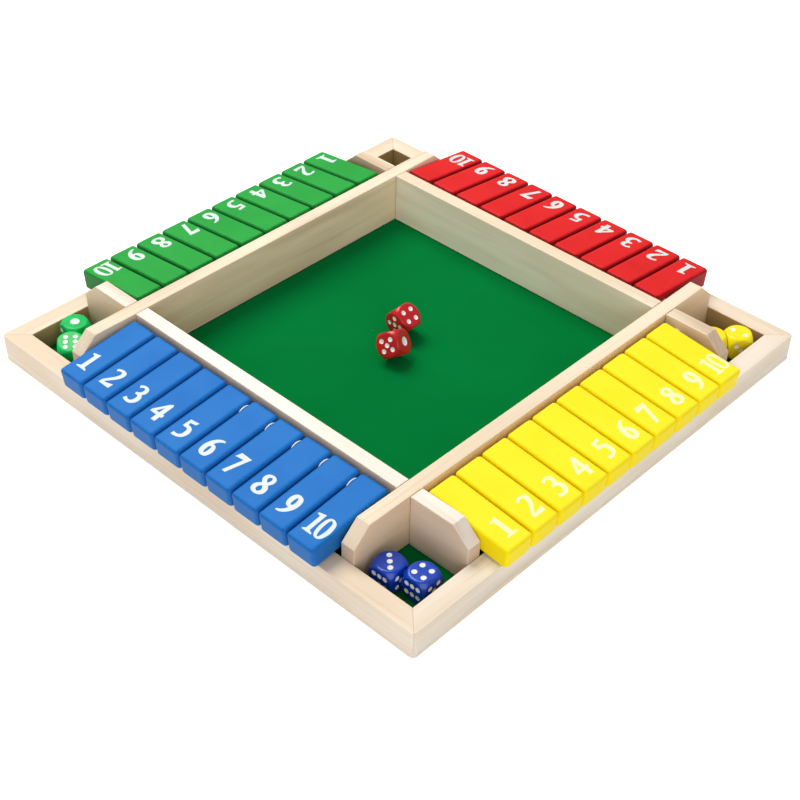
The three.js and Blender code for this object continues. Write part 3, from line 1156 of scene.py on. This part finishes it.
def pen_triangles(line: np.ndarray, least: float = 1e-4) -> list:
    """The triangles that a pen covers along a line: each sample widened by half its width to both sides.

    Args:
        line: samples of (across, up, width).
        least: the area under which a triangle is too thin to matter.

    Returns:
        The triangles, anticlockwise, without the thin ones.
    """
    middle = line[:, :2]
    heading = np.gradient(middle, axis=0)
    if np.allclose(line[0], line[-1]):
        heading[0] = heading[-1] = middle[1] - middle[-2]
    heading /= np.linalg.norm(heading, axis=1, keepdims=True)
    sideways = np.stack([-heading[:, 1], heading[:, 0]], 1) * line[:, 2:3] / 2
    left, right = middle + sideways, middle - sideways
    halves = np.concatenate([np.stack([right[:-1], right[1:], left[1:]], 1),
                             np.stack([right[:-1], left[1:], left[:-1]], 1)])
    one, other = halves[:, 1] - halves[:, 0], halves[:, 2] - halves[:, 0]
    area = (one[:, 0] * other[:, 1] - one[:, 1] * other[:, 0]) / 2
    halves[area < 0] = halves[area < 0, ::-1]
    return list(halves[np.abs(area) > least])


def numeral_shell(number: int, rise: float, sink: float, mesh: float) -> Shell:
    """A numeral as a thin closed print: the union of its shapes, raised and sunk.

    The shapes are cut into triangles together, with a square net of points between them so that the
    print can bend, and the triangles that lie in any shape are kept. An edge with a kept triangle on
    one side only is the numeral's rim, and gets a wall.

    Args:
        number: 1 to 10.
        rise: height of the print over the face.
        sink: how far it reaches under the face.
        mesh: spacing of the net.

    Returns:
        The print, with its face at height 0 and the middle of its foot at the origin.
    """
    rings = []
    for shape in numeral_shapes(number):
        rings += [np.array(shape)] if len(shape[0]) == 2 else pen_triangles(pen_line(shape))
    ends = np.cumsum([len(ring) for ring in rings]).tolist()
    loops = [list(range(start, end)) for start, end in zip([0] + ends, ends)]
    outline = np.concatenate(rings)
    spans = zip(outline.min(0), outline.max(0))
    columns, levels = (np.arange(low + mesh / 2, high, mesh) for low, high in spans)
    net = np.stack(np.meshgrid(columns, levels), -1).reshape(-1, 2)
    corners = [Vector(point) for point in np.concatenate([outline, net]).tolist()]
    hull, merged = 0, 1e-5  # The whole hull is cut into triangles, and nearer points than this are one
    flat, _, faces, _, _, owners = delaunay_2d_cdt(corners, [], loops, hull, merged)
    kept = np.array([face for face, owner in zip(faces, owners) if owner], int)
    ground = np.array([tuple(point) for point in flat])
    count = len(ground)
    edges = np.concatenate([kept[:, [0, 1]], kept[:, [1, 2]], kept[:, [2, 0]]])
    forward = edges[:, 0] * count + edges[:, 1]
    rim = edges[~np.isin(forward, edges[:, 1] * count + edges[:, 0])]
    top = np.column_stack([ground, np.full(count, rise)])
    bottom = np.column_stack([ground, np.full(count, -sink)])
    walls = np.stack([rim[:, 0] + count, rim[:, 1] + count, rim[:, 1], rim[:, 0]], 1)
    used = np.zeros(2 * count, bool)
    used[kept.ravel()] = used[kept.ravel() + count] = True
    renumber = np.cumsum(used) - 1
    faces = [renumber[kept], renumber[kept[:, ::-1] + count], renumber[walls]]
    return Shell(np.vstack([top, bottom])[used], faces, smooth=False)


# How far each bank's print lies off the middle of its tiles, across and outward, and how much further
# its ten does.
PRINT_SHIFTS = {
    Bank.blue: ((-0.1, 0.2), (0.0, 0.0)),
    Bank.yellow: ((1.6, 1.7), (-1.2, -0.4)),
    Bank.red: ((0.4, 2.2), (-2.0, -1.6)),
    Bank.green: ((-0.9, 2.3), (-0.3, 0.0)),
}


@dataclass
class TileBank:
    """The ten tiles of one bank and their numerals."""

    bank: Bank
    finishes: Finishes
    plan: BoardPlan = PLAN
    width: float = 17.3
    thickness: float = 12.0
    overhang: float = 3.7
    edge: float = 1.8
    heel_edge: float = 2.2
    side_edge: float = 2.2
    side_depth: float = 1.7
    edge_gain: float = 4.0
    bore: float = 2.55
    bore_rim: float = 0.35
    sweep: float = 0.4
    rest: float = 0.3
    numeral_foot: float = 35.0
    print_rise: float = 0.06
    print_sink: float = 0.03
    print_mesh: float = 0.5

    @property
    def reach(self) -> float:
        """The length from the rod's axis to the outer end."""
        return self.plan.board_half - self.plan.rod_out + self.overhang

    @property
    def heel(self) -> float:
        """The length from the rod's axis to the inner end, whose edges pass the pit wall on a circle."""
        circle = self.plan.rod_setback - self.sweep - self.edge
        return self.edge + math.sqrt(circle ** 2 - (self.thickness / 2 - self.edge) ** 2)

    @property
    def tilt(self) -> float:
        """The angle at which the underside lies on the rail's outer edge, in radians.

        Returns:
            The angle down from level.
        """
        out = self.plan.board_half - self.plan.rod_out
        down = self.plan.rod_height - self.plan.rail_top - self.rest
        return math.acos(self.thickness / 2 / math.hypot(out, down)) - math.atan2(out, down)

    def resting(self) -> np.ndarray:
        """The matrix from a tile's own axes to the blue bank's: out along -Y and down by the tilt."""
        cosine, sine = math.cos(self.tilt), math.sin(self.tilt)
        return basis((1, 0, 0), (0, -cosine, -sine), (0, -sine, cosine))

    def side_drop(self, across: np.ndarray) -> np.ndarray:
        """How far the face has fallen at places across: nothing, then the side edge's quarter ellipse."""
        beyond = np.clip((np.abs(across) - self.width / 2) / self.side_edge + 1, 0, 1)
        return self.side_depth * (1 - np.sqrt(1 - beyond ** 2))

    def tile_shell(self) -> Shell:
        """One tile about its rod's axis, as a ring that closes both ways.

        Round the section, a point of the rounded outline is paired with the point of the bore that is
        seen from the axis in the same direction. Across, the surface goes over the outer skin, round
        the side's edge, in over the side face to the bore, back through it and out over the far side.
        The side's edges are quarter ellipses, wider across the tile than they are deep.

        Returns:
            The tile, its axes being along the rod, out along the tile, and up from its face.
        """
        half = self.thickness / 2
        corners = rectangle(-self.heel, self.reach, -half, half)
        radii = np.array([self.edge, self.edge, self.edge, self.heel_edge])
        outline, normals = rounded_outline(corners, radii, steps=7)
        direction = outline / np.linalg.norm(outline, axis=1, keepdims=True)
        across, inset, lean = edge_rows(self.width / 2, self.side_edge, steps=5)
        skin = outline[None] - normals[None] * (inset * self.side_depth / self.side_edge)[:, None, None]
        rim, bulge, beyond = self.bore_rim, self.bore_rim * 0.3, self.bore_rim + 0.3
        # How far each ring of the bore's mouth is inside the side face, and how much wider than the bore
        depth = np.array([0, 0, 0, bulge, rim, beyond])
        wider = np.array([rim + 1, rim + MARGIN, rim, bulge, 0, 0])
        bore = direction[None] * (self.bore + wider)[:, None, None]
        inner = self.width / 2 - depth
        rows = np.concatenate([across, inner, -inner[::-1]])
        sections = np.concatenate([skin, bore, bore[::-1]])
        places = np.broadcast_to(rows[:, None, None], sections.shape[:2] + (1,))
        points = np.concatenate([places, sections], -1).reshape(-1, 3)
        bored = 2 * len(bore) * len(outline)
        # The edge mark is where the painted edge shading shows, and the side mark is where the painted side
        # shade shows.
        bend = np.cos(lean)[:, None] * np.abs(normals).max(1)[None]
        bent = 1 - np.maximum(bend, np.abs(np.sin(lean))[:, None])
        edge = np.concatenate([np.clip(bent * self.edge_gain, 0, 1).ravel(), np.zeros(bored)])
        flat = np.abs(normals[None, :, 1]) * np.cos(lean)[:, None]
        side = np.concatenate([1 - flat.ravel(), np.ones(bored)])
        faces = [grid_faces(len(rows), len(outline), closed_rows=True)]
        return Shell(points, faces, {"edge": edge, "side": side, "grain": points[:, [1, 2, 0]]})

    def print_shell(self, number: int) -> Shell:
        """A numeral on its tile, bent down where the tile's side is rounded.

        Args:
            number: 1 to 10.

        Returns:
            The print, in the tile's own axes.
        """
        shift, further = PRINT_SHIFTS[self.bank]
        across, out = np.add(shift, further) if number == self.plan.tiles else shift
        foot = (across, self.numeral_foot + out, self.thickness / 2)
        figure = numeral_shell(number, self.print_rise, self.print_sink, self.print_mesh)
        figure = figure.moved(basis((1, 0, 0), (0, -1, 0), (0, 0, 1)), foot)
        figure.points[:, 2] -= self.side_drop(figure.points[:, 0])
        return figure

    def build(self) -> list:
        """Makes the ten tiles and their numerals, each riding on its tile's body.

        Returns:
            The pieces.
        """
        plan, pieces = self.plan, []
        colour = self.bank.name
        shape = self.tile_shell()
        for number in range(1, plan.tiles + 1):
            name = f"{colour}_tile_{number}"
            place = plan.on_rod(self.bank, plan.along(self.bank, number), self.resting())
            # Every tile is cut from a place of its own in the wood
            pith = (71 * number + 900 * self.bank.value, 23 + number % 3 * 5, -18 - number % 4 * 4)
            tile = replace(shape, marks=shape.marks | {"grain": shape.marks["grain"] + pith}).moved(*place)
            figure = self.print_shell(number).moved(*place)
            pieces += [
                tile.to_piece(f"{name}_body", self.finishes.paint[self.bank], name, name, f"{colour}_paint"),
                figure.to_piece(f"{colour}_numeral_{number}", self.finishes.numeral[self.bank], name),
            ]
        return pieces


# Dice


PIP_CORNERS = [(-1, -1), (-1, 1), (1, -1), (1, 1)]
PIP_SPOTS = {
    1: [(0, 0)],
    2: [(-1, -1), (1, 1)],
    3: [(-1, -1), (0, 0), (1, 1)],
    4: PIP_CORNERS,
    5: PIP_CORNERS + [(0, 0)],
    6: [(column, row) for column in (-1.2, 0, 1.2) for row in (-0.93, 0.93)],
}


@dataclass
class Die:
    """One die: its place, its turns about X, then Y, then Z, and the pips of its three named faces."""

    bank: Bank
    number: int
    centre: tuple
    turns: tuple
    top: int
    front: int
    right: int
    flipped: tuple = ()
    size: float = 14.0
    ball: float = 9.6
    sharpness: float = 46.0
    pip_reach: float = 2.75
    pip_radius: float = 1.36
    ace_radius: float = 2.5
    pip_depth: float = 0.75
    cells: int = 44

    def faces(self) -> list:
        """The six faces: outward axis, two axes across it, and number of pips; opposite faces add up to 7.

        Returns:
            Tuples of (normal, first, second, pips).
        """
        x, y, z = np.eye(3)
        return [(z, x, y, self.top), (-z, y, x, 7 - self.top), (-y, x, z, self.front),
                (y, z, x, 7 - self.front), (x, y, z, self.right), (-x, z, y, 7 - self.right)]

    def shell(self) -> Shell:
        """A cube rounded by a ball, with a shallow dimple for each pip.

        Each face's grid goes out along the tangents of even angles. A point's distance from the middle
        is the smooth least of the cube's and the ball's in its direction, and inside a pip it sinks
        along the face's axis by the depth times one less the square of its share of the pip's radius.

        Returns:
            The die in its own axes, with how far each point lies inside the nearest pip's rim.
        """
        half, sharp = self.size / 2, self.sharpness
        share = np.tan(np.linspace(-math.pi / 4, math.pi / 4, self.cells + 1))
        across, up = (grid[..., None] for grid in np.meshgrid(share, share, indexing="ij"))
        points, marks = [], []
        for normal, first, second, pips in self.faces():
            way = normal + across * first + up * second
            length = np.linalg.norm(way, axis=-1)
            least = np.exp(-sharp * length) + np.exp(-sharp * self.ball / half)
            spot = way * (-np.log(least) * half / sharp / length)[..., None]
            radius = self.ace_radius if pips == 1 else self.pip_radius
            spots = np.array(self.spots(pips, normal)) * self.pip_reach
            place = np.stack([spot @ first, spot @ second], -1)[..., None, :]
            inside = (radius - np.linalg.norm(place - spots, axis=-1)).max(-1)
            depth = self.pip_depth * (1 - np.clip(1 - inside / radius, 0, 1) ** 2)
            points.append(spot - np.where(inside > 0, depth, 0)[..., None] * normal)
            marks.append(inside)
        return self.joined(np.array(points), np.array(marks))

    def spots(self, pips: int, normal: np.ndarray) -> list:
        """Where the pips lie; those of 6, 3 and 2 turn by a quarter on the faces named in flipped.

        Args:
            pips: their number.
            normal: the face's axis.

        Returns:
            Their places across the face, in shares of the reach.
        """
        axis = "xyz"[int(np.argmax(np.abs(normal)))]
        if axis in self.flipped:
            return [(-other, one) for one, other in PIP_SPOTS[pips]]
        return PIP_SPOTS[pips]

    def joined(self, points: np.ndarray, marks: np.ndarray) -> Shell:
        """Merges the six grids where their edges meet.

        Args:
            points: six grids of points.
            marks: six grids of pip marks.

        Returns:
            One closed shell.
        """
        side = self.cells + 1
        face, row, column = np.indices((6, self.cells, self.cells))
        one = (face * side + row) * side + column
        quads = np.stack([one, one + side, one + side + 1, one + 1], -1).reshape(-1, 4)
        cloud = points.reshape(-1, 3)
        _, first, back = np.unique(np.round(cloud, 4), axis=0, return_index=True, return_inverse=True)
        return Shell(cloud[first], [back.ravel()[quads]], {"pip": marks.ravel()[first]})

    def build(self, finishes: Finishes) -> bpy.types.Object:
        """Makes the die, which rides on its own body.

        Args:
            finishes: the materials.

        Returns:
            The piece.
        """
        colour, node = self.bank.name, f"{self.bank.name}_die_{self.number}"
        turn = Matrix.Identity(3)
        for degrees, axis in zip(self.turns, "XYZ"):
            turn = Matrix.Rotation(math.radians(degrees), 3, axis) @ turn
        shell = self.shell().moved(np.array(turn), self.centre)
        return shell.to_piece(f"{node}_body", finishes.resin[self.bank], node, node, f"{colour}_dice_resin")


DICE = (
    Die(Bank.blue, 1, (113.19, -126.58, 10.2), (0, 0, 2), 3, 6, 5, flipped=("z",)),
    Die(Bank.blue, 2, (127.99, -120.78, 10.2), (0, 0, 1), 4, 6, 5),
    Die(Bank.yellow, 1, (128.69, 128.70, 10.2), (0, 0, 50), 2, 3, 6, flipped=("z", "y")),
    Die(Bank.yellow, 2, (119.43, 117.67, 10.2), (0, 0, 50), 1, 5, 3),
    Die(Bank.red, 1, (-11.28, 13.79, 12.60), (0, 41, 0), 4, 5, 1),
    Die(Bank.red, 2, (0.02, -5.71, 12.56), (-27, -29, 24), 3, 5, 1),
    Die(Bank.green, 1, (-130.28, -116.70, 10.2), (0, 0, -8), 1, 4, 2),
    Die(Bank.green, 2, (-117.75, -128.81, 11.58), (15, 0, 50), 6, 2, 3, flipped=("z",)),
)


# Camera, lamps and floor


WHITE = (1.0, 1.0, 1.0, 1.0)


@dataclass(frozen=True)
class Lamp:
    """A square soft lamp that faces the middle of the board; its place and side are in metres."""

    name: str
    place: tuple
    side: float
    watts: float
    colour: tuple

    def build(self) -> None:
        """Makes the lamp."""
        data = bpy.data.lights.new(self.name, "AREA")
        data.shape, data.size, data.energy, data.color = "SQUARE", self.side, self.watts, self.colour
        lamp = linked(self.name, data)
        lamp.location = self.place
        lamp.rotation_euler = (-Vector(self.place)).to_track_quat("-Z", "Y").to_euler()


LAMPS = (
    Lamp("key", (-0.95, 0.15, 1.55), 1.1, 27.0, (1.0, 0.95, 0.87)),
    Lamp("front", (2.0, -1.85, 1.08), 2.0, 25.0, (0.94, 1.0, 1.07)),
)


@dataclass
class Studio:
    """A pale floor, soft light and the photograph's camera."""

    azimuth: float = 42.6434
    elevation: float = 39.5946
    roll: float = 1.4316
    distance: float = 773.79
    aim: tuple = (24.651, -26.344, 0.0)
    focal_pixels: float = 1479.43
    frame_pixels: float = 800.0
    world_light: float = 0.45
    floor_reach: float = 6.0
    floor_paper: tuple = (0.8, 0.8, 0.8, 1.0)
    floor_glow: float = 0.17
    floor_seen: float = 0.62

    def build(self) -> None:
        """Makes the camera, the floor, the world and the lamps."""
        self.camera()
        self.floor()
        self.world()
        for lamp in LAMPS:
            lamp.build()

    def camera(self) -> None:
        """The camera looks at the aim from its azimuth and elevation, then rolls about its own axis."""
        turn, rise, roll = (math.radians(a) for a in (self.azimuth, self.elevation, self.roll))
        back = Vector((math.sin(turn) * math.cos(rise), -math.cos(turn) * math.cos(rise), math.sin(rise)))
        right = (-back).cross(Vector((0, 0, 1))).normalized()
        up = right.cross(-back)
        right, up = right * math.cos(roll) + up * math.sin(roll), up * math.cos(roll) - right * math.sin(roll)
        data = bpy.data.cameras.new("camera")
        data.sensor_fit = "HORIZONTAL"
        data.sensor_width = 36.0
        data.lens = data.sensor_width * self.focal_pixels / self.frame_pixels
        data.clip_start, data.clip_end = 0.02, 50.0
        camera = linked("camera", data)
        pose = Matrix((right, up, back)).transposed().to_4x4()
        pose.translation = (Vector(self.aim) + back * self.distance) * MM
        camera.matrix_world = pose
        bpy.context.scene.camera = camera

    def floor(self) -> None:
        """A wide white floor with light of its own, more where the camera sees it; it keeps its shadow."""
        reach = self.floor_reach
        corners = [(x, y, 0.0) for x, y in rectangle(-reach, reach, -reach, reach).tolist()]
        mesh = bpy.data.meshes.new("studio_floor")
        mesh.from_pydata(corners, [], [(0, 1, 2, 3)])
        nodes = Surface("studio_floor")
        rays = ("Is Camera Ray", "Is Glossy Ray", "Is Transmission Ray")
        strength = nodes.strength(self.floor_glow, self.floor_seen, *rays)
        paper = nodes.add("ShaderNodeBsdfDiffuse", {"Color": self.floor_paper})
        glow = nodes.add("ShaderNodeEmission", {"Color": WHITE, "Strength": strength})
        both = nodes.add("ShaderNodeAddShader", {0: paper.outputs[0], 1: glow.outputs[0]})
        nodes.add("ShaderNodeOutputMaterial", {"Surface": both.outputs[0]})
        mesh.materials.append(nodes.material)
        linked("studio_floor", mesh)

    def world(self) -> None:
        """An even white surround, which the camera sees as white."""
        world = bpy.data.worlds.new("studio")
        world.use_nodes = True
        nodes = Nodes(world.node_tree)
        strength = nodes.strength(self.world_light, 1.0, "Is Camera Ray", "Is Transmission Ray")
        light = nodes.add("ShaderNodeBackground", {"Color": WHITE, "Strength": strength})
        nodes.add("ShaderNodeOutputWorld", {"Surface": light.outputs[0]})
        bpy.context.scene.world = world


def main() -> None:
    """Builds the studio and every piece of the board, and reports them."""
    logging.basicConfig(level=logging.INFO, format="%(name)s: %(message)s")
    bpy.context.scene.view_settings.view_transform = "Standard"
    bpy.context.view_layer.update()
    Studio().build()
    finishes = Finishes()
    pieces = Woodwork(finishes).build()
    for bank in Bank:
        pieces += TileBank(bank, finishes).build()
    pieces += [die.build(finishes) for die in DICE]
    for piece in pieces:
        LOG.info("%s: %d points", piece.name, len(piece.data.vertices))


if __name__ == "__main__":
    main()
